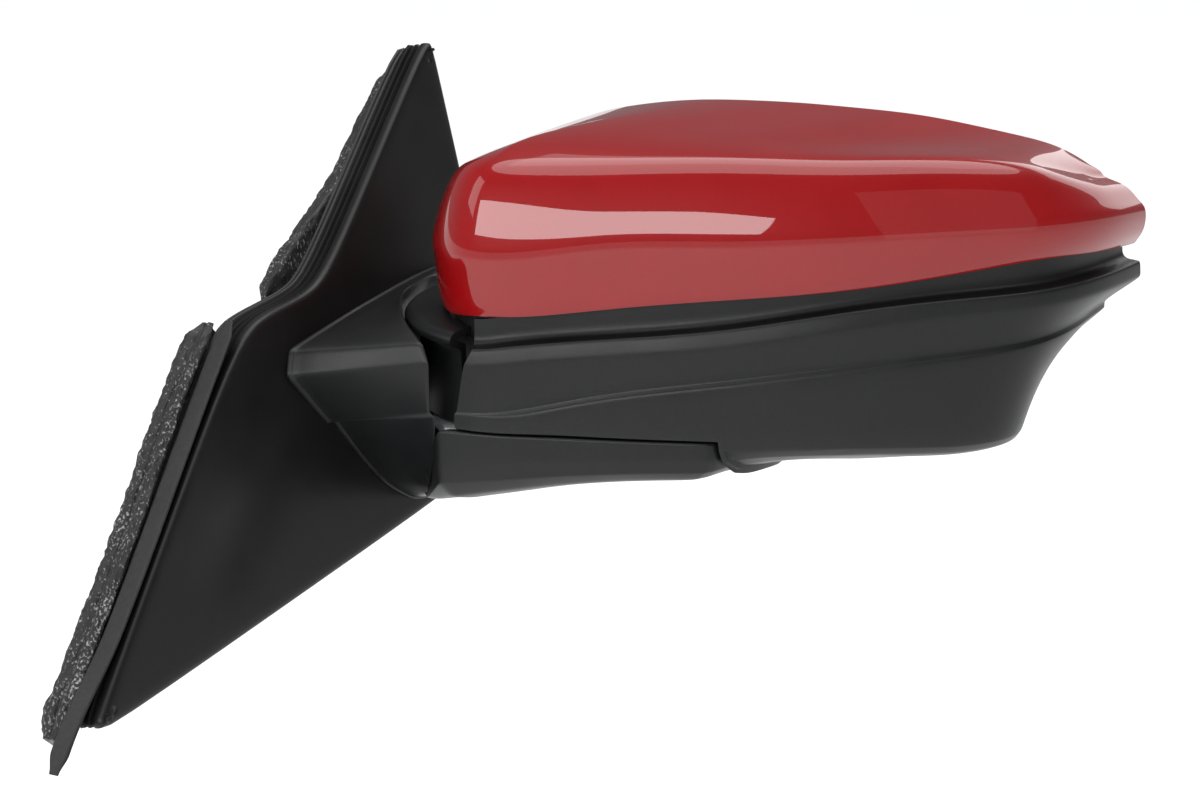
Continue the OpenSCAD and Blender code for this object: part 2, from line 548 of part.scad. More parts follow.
// Jackscrew: a threaded rod with the ball that pushes the glass holder
module jackscrew() {
    rod(tilt_y - 26, tilt_y - 2, 2.8);
    translate([0, tilt_y, 0]) sphere(ball_r);
}
module pitch_screw() color([0.85, 0.83, 0.75]) rear() tilt() translate([0, 0, lever]) jackscrew();
module yaw_screw() color([0.85, 0.83, 0.75]) rear() tilt() translate([lever, 0, 0]) jackscrew();

gear_r = 9.5;
gear_back = cover_back - cover_t - 3;
gear_w = 6;
module drive_gear() difference() {
    union() {
        rod(case_front + 2.6, cover_back, 5.2);
        rod(gear_back - gear_w, gear_back, gear_r - 1.8);
        for (k = [0:gear_teeth - 1]) rotate([0, k * 360 / gear_teeth, 0])
            translate([-0.6, gear_back - gear_w, gear_r - 2.2]) cube([1.2, gear_w, 2.2]);
    }
    rod(case_front, cover_back + 1, 3.1);
}
module pitch_gear() color([0.9, 0.9, 0.85]) rear() tilt() translate([0, 0, lever]) drive_gear();
module yaw_gear() color([0.9, 0.9, 0.85]) rear() tilt() translate([lever, 0, 0]) drive_gear();

// Worm and motor lie along +X of their own frame, beside the gear they drive
worm_r = 3;
worm_off = gear_r + worm_r + 0.3;
worm_y = gear_back - gear_w / 2;
module worm() rotate([0, 90, 0]) {
    difference() {
        translate([0, 0, -6]) cylinder(h = 12, r = worm_r);
        for (k = [-2:2]) translate([0, 0, 2 * k]) difference() {
            cylinder(h = 1, r = worm_r + 1, center = true);
            cylinder(h = 2, r = worm_r - 0.9, center = true);
        }
    }
    translate([0, 0, -16]) cylinder(h = 10, r = 1.1);
}
module motor() rotate([0, 90, 0]) difference() {
    translate([0, 0, -29]) cylinder(h = 21, r = 5.5);
    translate([0, 0, -18]) cylinder(h = 11, r = 1.15);
}
module beside_pitch_gear() rear() tilt() translate([0, worm_y, lever - worm_off]) children();
module beside_yaw_gear()
    rear() tilt() translate([lever - worm_off, worm_y, 0]) rotate([0, -90, 0]) children();
module pitch_worm() color([0.8, 0.7, 0.4]) beside_pitch_gear() worm();
module yaw_worm() color([0.8, 0.7, 0.4]) beside_yaw_gear() worm();
module pitch_motor() color([0.65, 0.66, 0.68]) beside_pitch_gear() motor();
module yaw_motor() color([0.65, 0.66, 0.68]) beside_yaw_gear() motor();

base_bracket();
mounting_studs();
sail_cover();
seal_frame();
foam_gasket_upper();
foam_gasket_lower();
rubber_lip();
retaining_clips();
wire_grommet();
base_screws();
neck_cover();
blade_cover();
detent_ring();
pivot_spindle();
thrust_washer();
fold_spring();
spring_retainer();
head_frame();
detent_cam();
painted_cap();
lower_housing();
shoulder_cover();
rear_bezel();
actuator_housing();
actuator_cover();
pitch_motor();
yaw_motor();
actuator_screws();
bezel_screws();
gimbal_ring();
glass_holder();
heater_pad();
mirror_glass();
pitch_screw();
yaw_screw();
pitch_gear();
yaw_gear();
pitch_worm();
yaw_worm();
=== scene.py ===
"""Looks of the powered car side mirror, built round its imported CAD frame."""

import json
import math

import bpy
import numpy as np
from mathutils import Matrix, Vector, noise
from mathutils.geometry import delaunay_2d_cdt


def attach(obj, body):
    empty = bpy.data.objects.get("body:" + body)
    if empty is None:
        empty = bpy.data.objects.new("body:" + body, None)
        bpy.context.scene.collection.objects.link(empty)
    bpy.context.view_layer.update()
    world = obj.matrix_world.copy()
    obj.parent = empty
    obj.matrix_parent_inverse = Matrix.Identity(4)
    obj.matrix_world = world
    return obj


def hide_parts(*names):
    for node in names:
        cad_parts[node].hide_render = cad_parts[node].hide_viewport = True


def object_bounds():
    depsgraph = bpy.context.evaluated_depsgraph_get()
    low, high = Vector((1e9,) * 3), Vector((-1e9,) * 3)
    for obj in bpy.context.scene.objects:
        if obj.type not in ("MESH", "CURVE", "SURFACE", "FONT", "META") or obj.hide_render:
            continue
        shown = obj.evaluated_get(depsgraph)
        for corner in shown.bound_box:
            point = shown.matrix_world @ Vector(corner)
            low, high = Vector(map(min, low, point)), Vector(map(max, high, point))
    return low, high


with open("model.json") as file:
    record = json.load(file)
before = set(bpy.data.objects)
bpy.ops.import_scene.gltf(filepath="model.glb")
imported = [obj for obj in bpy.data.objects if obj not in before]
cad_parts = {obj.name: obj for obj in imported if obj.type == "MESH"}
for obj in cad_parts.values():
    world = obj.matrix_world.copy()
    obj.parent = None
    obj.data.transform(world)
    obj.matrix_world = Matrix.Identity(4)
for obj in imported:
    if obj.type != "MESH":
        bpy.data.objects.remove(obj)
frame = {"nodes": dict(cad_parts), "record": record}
cad_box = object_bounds()
nodes = frame["nodes"]
MM = 0.001

# ---- camera ----
AZIMUTH, ELEVATION = math.radians(27), math.radians(16)
target = Vector((0.1287, -0.0198, 0.0291))
back = Vector((math.sin(AZIMUTH) * math.cos(ELEVATION), -math.cos(AZIMUTH) * math.cos(ELEVATION),
               math.sin(ELEVATION)))
camera = bpy.data.objects.new("camera", bpy.data.cameras.new("camera"))
camera.data.lens = 85
camera.data.sensor_width = 36
camera.rotation_mode = "QUATERNION"
camera.location = target + back * 1.05
camera.rotation_quaternion = (-back).to_track_quat("-Z", "Y")
bpy.context.scene.collection.objects.link(camera)
bpy.context.scene.camera = camera
bpy.context.scene.view_settings.view_transform = "Standard"


# ---- curves and grids, in millimetres ----
def length(v):
    return np.maximum(np.linalg.norm(v, axis=-1, keepdims=True), 1e-9)


def unit(v):
    return v / length(v)


def lerp(a, b, f):
    return a + (b - a) * f


def smooth(x):
    x = np.clip(x, 0, 1)
    return x * x * (3 - 2 * x)


def chords(points):
    steps = np.diff(np.asarray(points, float), axis=0)
    return np.concatenate([[0], np.cumsum(np.linalg.norm(steps, axis=-1))])


def catmull(p, t):
    """The CAD's own curve through a list, t counting its items."""
    p = np.asarray(p, float)
    t = min(max(t, 0), len(p) - 1.001)
    i = int(t)
    f = t - i
    a, b, c, d = (p[min(max(i + k, 0), len(p) - 1)] for k in (-1, 0, 1, 2))
    return (b * 2 + (c - a) * f + (a * 2 - b * 5 + c * 4 - d) * f * f + (b * 3 - a - c * 3 + d) * f**3) / 2


class Curve:
    """Smooth curve through values at knots, with continuous curvature."""

    def __init__(self, knots, values):
        self.k, self.p = np.asarray(knots, float), np.asarray(values, float)
        n, h = len(self.k), np.diff(self.k)
        a, b = np.eye(n), np.zeros_like(self.p)
        for i in range(1, n - 1):
            a[i, i - 1], a[i, i], a[i, i + 1] = h[i - 1], 2 * (h[i - 1] + h[i]), h[i]
            b[i] = 6 * ((self.p[i + 1] - self.p[i]) / h[i] - (self.p[i] - self.p[i - 1]) / h[i - 1])
        self.m = np.linalg.solve(a, b)

    def __call__(self, u):
        u = min(max(u, self.k[0]), self.k[-1])
        i = min(int(np.searchsorted(self.k, u, "right")) - 1, len(self.k) - 2)
        h = self.k[i + 1] - self.k[i]
        f = (u - self.k[i]) / h
        g = 1 - f
        bend = (g**3 - g) * self.m[i] + (f**3 - f) * self.m[i + 1]
        return g * self.p[i] + f * self.p[i + 1] + bend * h * h / 6

    def tangent(self, u):
        return unit(self(u + 0.05) - self(u - 0.05))


def bspline(c, per, closed=False):
    """Uniform cubic B-spline over the next-to-last axis of control points."""
    if closed:
        c = np.concatenate([c[..., -1:, :], c, c[..., :2, :]], -2)
    else:
        c = np.concatenate([2 * c[..., :1, :] - c[..., 1:2, :], c, 2 * c[..., -1:, :] - c[..., -2:-1, :]], -2)
    spans = c.shape[-2] - 3
    out = []
    for i in range(spans):
        for f in np.arange(per) / per:
            w = [(1 - f) ** 3, 3 * f**3 - 6 * f * f + 4, -3 * f**3 + 3 * f * f + 3 * f + 1, f**3]
            out.append(sum(w[k] * c[..., i + k, :] for k in range(4)) / 6)
    if not closed:
        out.append((c[..., -3, :] + 4 * c[..., -2, :] + c[..., -1, :]) / 6)
    return np.stack(out, -2)


def rounded(points, radii, per=3, closed=False):
    """Each row of corner points as a line with rounded corners.

    radii is one per corner, or one list per row.
    """
    n = points.shape[-2]
    radii = np.broadcast_to(np.asarray(radii, float), points.shape[:-1])[..., None]
    first, last = (0, n) if closed else (1, n - 1)
    groups = []
    for i in range(first, last):
        a, b, c = points[..., i - 1, :], points[..., i, :], points[..., (i + 1) % n, :]
        r = np.minimum(radii[..., i, :], 0.42 * np.minimum(length(a - b), length(c - b)))
        groups.append([b + unit(a - b) * r, b + unit(c - b) * r])
    out = [] if closed else [points[..., 0, :]]
    before = groups[-1][1] if closed else points[..., 0, :]
    for p, q in groups:
        out += [(before + p) / 2, p, q]
        before = q
    if not closed:
        out += [(before + points[..., -1, :]) / 2, points[..., -1, :]]
    return bspline(np.stack(out, -2), per, closed)


def make(name, verts, faces, body, slot, material, replaced=(), sharp=40):
    mesh = bpy.data.meshes.new(name)
    corners = [tuple(v) for v in np.asarray(verts) * MM]
    mesh.from_pydata(corners, [], [tuple(int(i) for i in f) for f in faces])
    mesh.validate()
    mesh.shade_smooth()
    mesh.set_sharp_from_angle(angle=math.radians(sharp))
    mesh.materials.append(material)
    piece = bpy.data.objects.new(name, mesh)
    bpy.context.scene.collection.objects.link(piece)
    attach(piece, body)
    if replaced:
        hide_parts(*replaced)
    return piece


def quads(rows, columns, wrap=False, turn=False):
    """Faces of a grid of rows x columns points."""
    faces = []
    for i in range(rows if wrap else rows - 1):
        for j in range(columns - 1):
            a, b = i * columns + j, (i + 1) % rows * columns + j
            faces.append((a, b, b + 1, a + 1) if turn else (a, a + 1, b + 1, b))
    return faces


def shell_faces(rows, columns, wrap=False):
    """Outer grid, inner grid and the edges that join them."""
    m = rows * columns
    faces = quads(rows, columns, wrap) + [tuple(m + i for i in f) for f in quads(rows, columns, wrap, True)]
    for i in range(rows if wrap else rows - 1):
        a, b = i * columns, (i + 1) % rows * columns
        faces.append((a, b, m + b, m + a))
        a, b = a + columns - 1, b + columns - 1
        faces.append((b, a, m + a, m + b))
    if not wrap:
        for j in range(columns - 1):
            a = (rows - 1) * columns + j
            faces += [(j + 1, j, m + j, m + j + 1), (a, a + 1, m + a + 1, m + a)]
    return faces


def shell(name, outer, inner, *args, wrap=False, **kw):
    rows, columns = outer.shape[:2]
    verts = np.concatenate([outer.reshape(-1, 3), inner.reshape(-1, 3)])
    return make(name, verts, shell_faces(rows, columns, wrap), *args, **kw)


# ---- materials ----
def material(name, dark, light, rough=(0.4, 0.5), grain=900, bump=0.15, stretch=(1, 1, 1), span=(0.35, 0.7),
             **sockets):
    """Base colour, roughness and relief that vary with the object's own coordinates."""
    mat = bpy.data.materials.new(name)
    mat.use_nodes = True
    tree = mat.node_tree
    shader = tree.nodes["Principled BSDF"]
    for key, value in sockets.items():
        shader.inputs[key.replace("_", " ")].default_value = value
    place = tree.nodes.new("ShaderNodeTexCoord")
    squeeze = tree.nodes.new("ShaderNodeMapping")
    squeeze.inputs["Scale"].default_value = stretch
    tree.links.new(place.outputs["Object"], squeeze.inputs["Vector"])

    def pattern(scale, detail):
        tex = tree.nodes.new("ShaderNodeTexNoise")
        tex.inputs["Scale"].default_value = scale
        tex.inputs["Detail"].default_value = detail
        tree.links.new(squeeze.outputs["Vector"], tex.inputs["Vector"])
        return tex.outputs["Fac"]

    fine, broad = pattern(grain, 3), pattern(35, 4)
    ramp = tree.nodes.new("ShaderNodeValToRGB")
    ramp.color_ramp.elements[0].position, ramp.color_ramp.elements[1].position = span
    ramp.color_ramp.elements[0].color, ramp.color_ramp.elements[1].color = (*dark, 1), (*light, 1)
    both = tree.nodes.new("ShaderNodeMath")
    both.operation = "MULTIPLY_ADD"
    both.inputs[1].default_value = 0.6
    tree.links.new(fine, both.inputs[0])
    share = tree.nodes.new("ShaderNodeMath")
    share.operation = "MULTIPLY"
    share.inputs[1].default_value = 0.4
    tree.links.new(broad, share.inputs[0])
    tree.links.new(share.outputs[0], both.inputs[2])
    tree.links.new(both.outputs[0], ramp.inputs["Fac"])
    tree.links.new(ramp.outputs["Color"], shader.inputs["Base Color"])
    spread = tree.nodes.new("ShaderNodeMapRange")
    spread.inputs["From Min"].default_value, spread.inputs["From Max"].default_value = 0.3, 0.7
    spread.inputs["To Min"].default_value, spread.inputs["To Max"].default_value = rough
    tree.links.new(broad, spread.inputs["Value"])
    tree.links.new(spread.outputs["Result"], shader.inputs["Roughness"])
    relief = tree.nodes.new("ShaderNodeBump")
    relief.inputs["Strength"].default_value = bump
    relief.inputs["Distance"].default_value = 0.0002
    tree.links.new(fine, relief.inputs["Height"])
    tree.links.new(relief.outputs["Normal"], shader.inputs["Normal"])
    return mat


paint = material("red_paint", (0.205, 0.0004, 0.0012), (0.24, 0.0008, 0.0022), (0.34, 0.42), 1800, 0.02,
                 Coat_Weight=1.0, Coat_Roughness=0.02, Coat_IOR=1.45, Specular_IOR_Level=0.1)
satin = material("satin_black", (0.0030, 0.0032, 0.0035), (0.0062, 0.0066, 0.0072), (0.36, 0.44), 1500, 0.22,
                 Specular_IOR_Level=0.3)
skin = material("sail_black", (0.0032, 0.0032, 0.0035), (0.0062, 0.0062, 0.0066), (0.36, 0.44), 1700, 0.18,
                Specular_IOR_Level=0.28)
inside = material("frame_black", (0.010, 0.010, 0.011), (0.020, 0.020, 0.021), (0.5, 0.62), 900, 0.35,
                  Specular_IOR_Level=0.4)
rubber = material("rubber", (0.006, 0.006, 0.0065), (0.014, 0.014, 0.015), (0.5, 0.62), 600, 0.25,
                  Specular_IOR_Level=0.35)
# The foam's sparse light grey specks, set by the ramp span, are painted highlights of glinting fibres on a
# near-black foam.
foam = material("foam", (0.002, 0.002, 0.002), (0.42, 0.42, 0.43), (0.5, 0.7), 1100, 1.0, (1.0, 1.0, 0.45),
                (0.54, 0.72), Specular_IOR_Level=0.4, Sheen_Weight=0.05, Sheen_Roughness=0.5)
steel = material("plated_steel", (0.52, 0.51, 0.48), (0.74, 0.73, 0.69), (0.24, 0.4), 1200, 0.2, (1, 1, 6),
                 Metallic=1.0)
dark_steel = material("hard_steel", (0.30, 0.30, 0.31), (0.48, 0.48, 0.5), (0.26, 0.42), 1100, 0.2, (1, 1, 5),
                      Metallic=1.0)
spring_steel = material("spring_steel", (0.14, 0.14, 0.15), (0.26, 0.26, 0.28), (0.25, 0.4), 1500, 0.15,
                        Metallic=1.0)
cast = material("cast_aluminium", (0.40, 0.41, 0.42), (0.60, 0.61, 0.63), (0.42, 0.6), 700, 0.7, Metallic=1.0)
nylon = material("clip_nylon", (0.62, 0.60, 0.52), (0.74, 0.72, 0.66), (0.4, 0.5), 500, 0.15,
                 Subsurface_Weight=0.2, Subsurface_Scale=0.002)
acetal = material("acetal", (0.70, 0.70, 0.66), (0.80, 0.80, 0.77), (0.3, 0.4), 600, 0.1,
                  Subsurface_Weight=0.15, Subsurface_Scale=0.002)
grey_plastic = material("actuator_plastic", (0.022, 0.022, 0.024), (0.042, 0.042, 0.046), (0.42, 0.55),
                        900, 0.3)
motor_can = material("motor_can", (0.48, 0.48, 0.49), (0.66, 0.66, 0.67), (0.2, 0.34), 1400, 0.15, (6, 1, 1),
                     Metallic=1.0)
brass = material("brass_worm", (0.55, 0.38, 0.13), (0.76, 0.56, 0.24), (0.22, 0.36), 1200, 0.15, Metallic=1.0)
heater = material("heater", (0.08, 0.05, 0.03), (0.22, 0.15, 0.09), (0.35, 0.6), 350, 0.6)
silver = material("mirror_glass", (0.80, 0.83, 0.86), (0.84, 0.87, 0.90), (0.0, 0.012), 300, 0.0,
                  Metallic=1.0, Coat_Weight=0.6, Coat_Roughness=0.01)
looks = {
    "red_paint": paint, "satin_black": satin, "frame_black": inside, "rubber": rubber, "foam": foam,
    "plated_steel": steel, "hard_steel": dark_steel, "spring_steel": spring_steel, "cast_aluminium": cast,
    "clip_nylon": nylon, "acetal": acetal, "actuator_plastic": grey_plastic, "motor_can": motor_can,
    "brass_worm": brass, "heater": heater, "mirror_glass": silver,
}

# ---- frames of the rear rim, the fold axis and the door flange ----
WALL = 2.5
GAP_ROOF = 12.6
PIVOT = np.array([89.5, 34.5])
RIM_ALONG = np.array([math.cos(math.radians(12)), math.sin(math.radians(12))])
sail_u = np.array([math.sin(math.radians(10)), math.cos(math.radians(10)), 0])
sail_n = np.array([math.cos(math.radians(12)) * math.cos(math.radians(10)),
                   -math.cos(math.radians(12)) * math.sin(math.radians(10)), math.sin(math.radians(12))])
sail_v = np.cross(sail_n, sail_u)


def on_sail(u, v, n):
    u, v, n = (np.asarray(k)[..., None] for k in (u, v, n))
    return u * sail_u + v * sail_v + n * sail_n


def rim_y(x):
    return 74 + (x - 78) * math.tan(math.radians(12))


def about_pivot(angle, r):
    return PIVOT + r * np.array([math.cos(math.radians(angle)), math.sin(math.radians(angle))])


# ---- painted cap and lower housing ----
cap_plan = [[40, 65.9], [38, 42], [39, 22], [42, 8], [50, -6], [62, -19.5], [76, -27], [92, -26.3],
            [126, -15], [168, 0], [208, 18], [246, 40], [272, 61], [287, 90], [292, 119.5]]
CAP_LAST = len(cap_plan) - 1
cap_knots = chords(cap_plan)
cap_line = Curve(cap_knots, cap_plan)
cap_edge = Curve(cap_knots, [77, 76, 76, 76, 77, 78, 79, 80, 85, 87, 89, 91, 91.5, 90, 87])
cap_low = Curve(cap_knots, [53, 52.5, 52, 52, 52.5, 54, 56, 57, 61, 66, 70, 76, 80, 79, 77])
cap_crease = Curve(cap_knots, [104, 104, 105, 106, 109, 112, 113, 114, 116, 118, 118, 118, 114, 106, 101.5])
top_rim = [[60, 109], [70, 114], [86, 119.5], [112, 124], [144, 125.5], [198, 123.5], [236, 118],
           [258, 113], [271, 106]]
rim_line = Curve(cap_knots, [catmull(top_rim, i / CAP_LAST * 8) for i in range(CAP_LAST + 1)])


def inward(line, knots, u, at_start=False):
    """Direction into the head, turned along the rear rim where the outline ends at it."""
    d = line.tangent(min(max(u, 0.5), knots[-1] - 0.5))
    t = float(np.interp(u, knots, range(len(knots))))
    side = 1 if u < knots[-1] / 2 else -1
    near = 1 - min(t, len(knots) - 1 - t) if at_start or t > 1 else 0
    return unit(lerp(np.array([-d[1], d[0]]), side * RIM_ALONG, smooth(near))), smooth(near)


def cap_row(u, s):
    o = cap_line(u)
    d, near = inward(cap_line, cap_knots, u, at_start=True)
    t = float(np.interp(u, cap_knots, range(CAP_LAST + 1)))
    edge, low, crease = cap_edge(u), cap_low(u), cap_crease(u)
    rim = rim_line(u)
    top = np.array([rim[0], rim_y(rim[0]), rim[1] - s])
    c = o + d * (14 + s)
    mid = lerp(c + d * 16, (c + top[:2]) / 2, max(near, smooth((t - 10) / 2)))
    rows = [(4, low), (2.6, low + 2.2), (0.9, edge - 5), (0.1, edge - 0.5), (0.5, edge + 4.5),
            (3.2, lerp(edge, crease, 0.46)), (7.2, lerp(edge, crease, 0.8)), (11.5, crease - 0.9)]
    pts = [[*(o + d * (k + s)), z - s * (z - low) / (crease - low)] for k, z in rows]
    pts.append([*(c + d * 3), lerp(crease, top[2], 0.14) - s])
    pts.append([*mid, lerp(crease - s, top[2], 0.55)])
    pts.append([*lerp(mid, top[:2], 0.5), lerp(crease - s, top[2], 0.86)])
    pts.append(top)
    return pts


def cap_grid(s):
    rows = np.array([cap_row(u, s) for u in np.linspace(0, cap_knots[-1], 230)])
    return bspline(rows, 5)


shell("cap_shell", cap_grid(0), cap_grid(WALL), "head", "red_paint", paint, replaced=["painted_cap"],
      sharp=50)



def band_grid(s):
    """Inner wall in the shadow under the cap, from the rear rim round the front corner."""
    rows = []
    for u in np.linspace(2, cap_knots[7], 70):
        o = cap_line(u)
        d, _ = inward(cap_line, cap_knots, u, at_start=True)
        rows.append([[*(o + d * (7.5 + s)), z] for z in (46, 50, 54, cap_low(u) + 3)])
    return np.array(rows)


shell("recess_band", band_grid(0), band_grid(1.6), "head", "satin_black", satin)

low_plan = [[73, -29.4], [84, -28.6], [105, -21.8], [126, -15], [168, 0], [208, 18], [246, 40], [272, 61],
            [286, 90], [291, 119.3]]
low_knots = chords(low_plan)
low_line = Curve(low_knots, low_plan)
low_top = Curve(low_knots, [54.5, 55.8, 62, 66, 71, 75, 80, 84, 83, 80])
low_ledge = Curve(low_knots, [44, 45, 47.5, 50, 55, 62, 67, 69, 70, 70])
low_groove = Curve(low_knots, [20, 21, 25, 30, 37, 43, 48, 51, 53, 54])
low_tuck = Curve(low_knots, [0, 0, 0, 0, 0, 0, 0, 8, 24, 34])
BELLY_FIRST = 4
belly_knots = low_knots[BELLY_FIRST:]
belly_in = Curve(belly_knots, [14, 15, 18, 28, 47, 62])
belly_z = Curve(belly_knots, [-3, 3, 3, 4, 4, 3.5])
belly_rim = Curve(belly_knots, [[153, -14], [174, -13], [200, -9], [214, -4.5], [223, 0], [230, 3.5]])
ARC_START, ARC_END, ARC_R = -24, 41, 85


def arc_angle(inset):
    return ARC_START + math.degrees(inset / (ARC_R - 1.5))


def wall_part(u, s, floor=0.0):
    ledge, groove, tuck = low_ledge(u), low_groove(u), max(float(low_tuck(u)), 0)
    o = low_line(u)
    d, _ = inward(low_line, low_knots, u)
    fade = 1 - 0.7 * smooth((u - low_knots[5]) / (low_knots[7] - low_knots[5]))
    fan = smooth(u / 30)
    rows = [(7.5, low_top(u)), (7.5, ledge + 1.2 - s), (1.6 * fade, ledge + 0.2 - s), (0, ledge - 6),
            (1.1 * fan + 0.35 * tuck, groove), (0.7 * fan + 0.37 * tuck, groove - 1.2 * fan - 0.8),
            (0.4 * tuck - 0.5, groove - 1.6 - 1.8 * fan), (tuck * 1.6, GAP_ROOF + floor)]
    along = low_line.tangent(max(u, 0.5)) * (1 - smooth(u / 25))
    shift = (4, 4, 6, 3, 0, -0.5, -1, -1)
    return [[*(o + d * (k + s) + along * m), z] for (k, z), m in zip(rows, shift)], o, d, tuck * 1.6


def belly_part(u, s):
    o = low_line(u)
    d, _ = inward(low_line, low_knots, u)
    f = float(np.interp(u, belly_knots, np.linspace(0, 1, len(belly_knots))))
    tuck, turn, z, rim = max(float(low_tuck(u)), 0) * 1.6, belly_in(u), belly_z(u), belly_rim(u)
    c = o + d * turn
    m = c + d * 12
    bend = min(max(f * 4, 0), 1)
    pts = []
    for across, down in ((0.12, 0.4), (0.45, 0.8)):
        inset, height = lerp(tuck, turn, across), lerp(GAP_ROOF, z, down)
        q = lerp(about_pivot(arc_angle(inset), ARC_R + s), o + d * (inset + s), bend)
        pts.append([*q, height + s * (GAP_ROOF - height) / (GAP_ROOF - z)])
    for g in (0, 0.25, 0.5, 0.75, 1):
        h = 1 - g
        a = about_pivot(lerp(arc_angle(turn), ARC_END, g), ARC_R + s)
        b = c * h * h + m * 2 * g * h + np.array([rim[0], rim_y(rim[0])]) * g * g
        q = lerp(a, b, bend)
        pts.append([q[0], rim_y(q[0]) if g == 1 else q[1], lerp(z, rim[1], g) + s])
    return pts


def lower_grid(s):
    rows, radii = [], []
    crisp = [0, 1.6, 0.5, 0.7, 0.8, 0.8, 1.2]
    step = low_knots[BELLY_FIRST]
    for u in np.linspace(0, step - 0.6, 70):
        wall, o, d, _ = wall_part(u, s, s)
        rows.append(wall + [[*(o + d * (s + 2 * j)), GAP_ROOF + s] for j in range(1, 8)])
        radii.append(crisp + [0.6] + [2] * 7)
    wall = wall_part(step - 0.5, s, s)[0]
    rows.append(wall + [[p[0], p[1], GAP_ROOF + s] for p in belly_part(step, s)])
    radii.append(crisp + [0.6] + [2] * 7)
    for u in np.linspace(step, low_knots[-1], 90):
        rows.append(wall_part(u, s)[0] + belly_part(u, s))
        radii.append(crisp + [4] + [8] * 7)
    return rounded(np.array(rows), np.array(radii), 3)


shell("lower_shell", lower_grid(0), lower_grid(WALL), "head", "satin_black", satin,
      replaced=["lower_housing"], sharp=45)

# ---- shoulder beside the neck, concentric with the fold axis ----
SHOULDER_R = 66


def shoulder_grid(corners, radii):
    line = rounded(np.array([[r, 0, z] for r, z in corners], float), radii, 4)
    rows = []
    for angle in np.linspace(155, 252.6, 90):
        c, s = math.cos(math.radians(angle)), math.sin(math.radians(angle))
        rows.append([[PIVOT[0] + r * c, PIVOT[1] + r * s, z] for r, _, z in line])
    return np.array(rows)


shell("shoulder_shell",
      shoulder_grid([(60, GAP_ROOF), (60, 42), (SHOULDER_R, 44.5), (SHOULDER_R, 49), (58, 50.4), (40, 51.2)],
                    [0, 0.6, 0.8, 2.4, 3, 0]),
      shoulder_grid([(57.5, GAP_ROOF), (57.5, 44), (62, 46), (63, 47), (56, 47.8), (40, 48.7)],
                    [0, 0.6, 0.8, 1.5, 3, 0]),
      "head", "satin_black", satin, replaced=["shoulder_cover"])

# ---- neck ----
NECK_R, ROOT_R = 70, 58
neck_root = np.array([[-34, 34], [-38, 24], [-21, 2], [-17.6, 2.3], [-2, -21], [12, -34], [28, -42],
                      [60, -36], [76, -20], [80, 4], [80, 20], [76, 50], [56, 50], [12, 43]], float)
neck_end = [[245.4, 45, NECK_R], [248.5, 38, NECK_R], [248, 18.5, NECK_R], [248.6, 16.0, NECK_R - 2.4],
            [248, -6, NECK_R - 0.8],
            [240, -17, 67], [215, -27.5, ROOT_R], [180, -34, ROOT_R], [163, -24, ROOT_R], [163, 1, ROOT_R],
            [163, 11, NECK_R], [165, 50, NECK_R], [185, 52.5, NECK_R], [215, 50.5, NECK_R]]
neck_radii = [0.7, 0.6, 0.5, 0.5, 6, 5, 8, 10, 8, 8, 6, 6, 10, 12]


def neck_loop(f, out):
    """Section of the neck at fraction f of its length, pushed out from its middle."""
    centre = lerp(np.array([22.0, 0]), np.array([205.0, 8]), f)
    root = neck_root + unit(neck_root - [22, 0]) * out
    skin_points = on_sail(root[:, 0], root[:, 1], np.full(len(root), 16.0))
    ends = []
    for angle, z, r in neck_end:
        away = unit(np.array([(angle - 205) * 1.2, z - 8]))
        p = about_pivot(angle + away[0] * out / 1.2, r)
        ends.append([*p, z + away[1] * out])
    loop = lerp(skin_points, np.array(ends), f)
    return rounded(loop, neck_radii, 3, closed=True), centre


stations = [(0.0, 0.9), (0.004, 1.0), (0.02, 1.0), (0.035, 0.3), (0.05, 0.0)]
stations += [(f, 0.0) for f in np.linspace(0.1, 0.88, 14)]
stations += [(0.93, 0.0), (0.955, -0.2), (0.975, -0.9), (0.99, -2.2), (0.997, -3.2),
             (0.999, -5.5), (0.999, -11)]
neck_outer = np.stack([neck_loop(f, out)[0] for f, out in stations], 1)
neck_inner = np.stack([neck_loop(min(f, 0.97), min(out, 0) - 2.2)[0] for f, out in stations], 1)
shell("neck_shell", neck_outer[::-1], neck_inner[::-1], "base", "satin_black", satin,
      replaced=["neck_cover"], wrap=True, sharp=50)

# ---- blade under the head ----
BLADE_TOP, BLADE_R, SILL = 11.8, 83.5, -17
blade_front = [(84, -28.4), (105, -21.6), (126, -14.8), (147, -7.5), (162, -2)]
blade_plan = [[*p, BLADE_TOP] for p in (about_pivot(248.6, NECK_R), *blade_front)]
blade_plan += [[*about_pivot(a, BLADE_R), BLADE_TOP] for a in range(-24, 40, 9)]
blade_plan += [[x, rim_y(x) - 4, BLADE_TOP] for x in (140, 115, 90, 60)]
blade_plan += [[*about_pivot(a, ROOT_R + max(a - 215, 0) * 0.36), SILL] for a in range(163, 241, 9)]
blade_plan = np.array(blade_plan, float)
blade_radii = [1.5] + [6] * 4 + [3] + [3] + [8] * 6 + [3] + [8] * 3 + [3] + [6] * 9
blade_mid = np.array([100.0, 32])


def under(x, y):
    return -19.5 + 0.24 * (x - 67) - 0.00098 * (x - 67) ** 2 - 0.1 * max(0, y + 54 - 0.335 * x - 14)


def blade_row(p, s):
    edge = p[:2]
    d = unit(blade_mid - edge)
    span = float(length(blade_mid - edge)[0]) - 5
    pts = []
    section = [(1.6, 1, 0), (0.1, 1, 0), (0, 0.8, 0), (0, 0.45, 0), (3, 0.2, 0.6), (12, 0, 1),
               (span * 0.55, 0, 1), (span - s, 0, 1)]
    for k, share, lift in section:
        q = edge + d * (k + (s if k < span * 0.5 else 0))
        pts.append([*q, lerp(under(*q), p[2], share) + s * lift])
    return pts


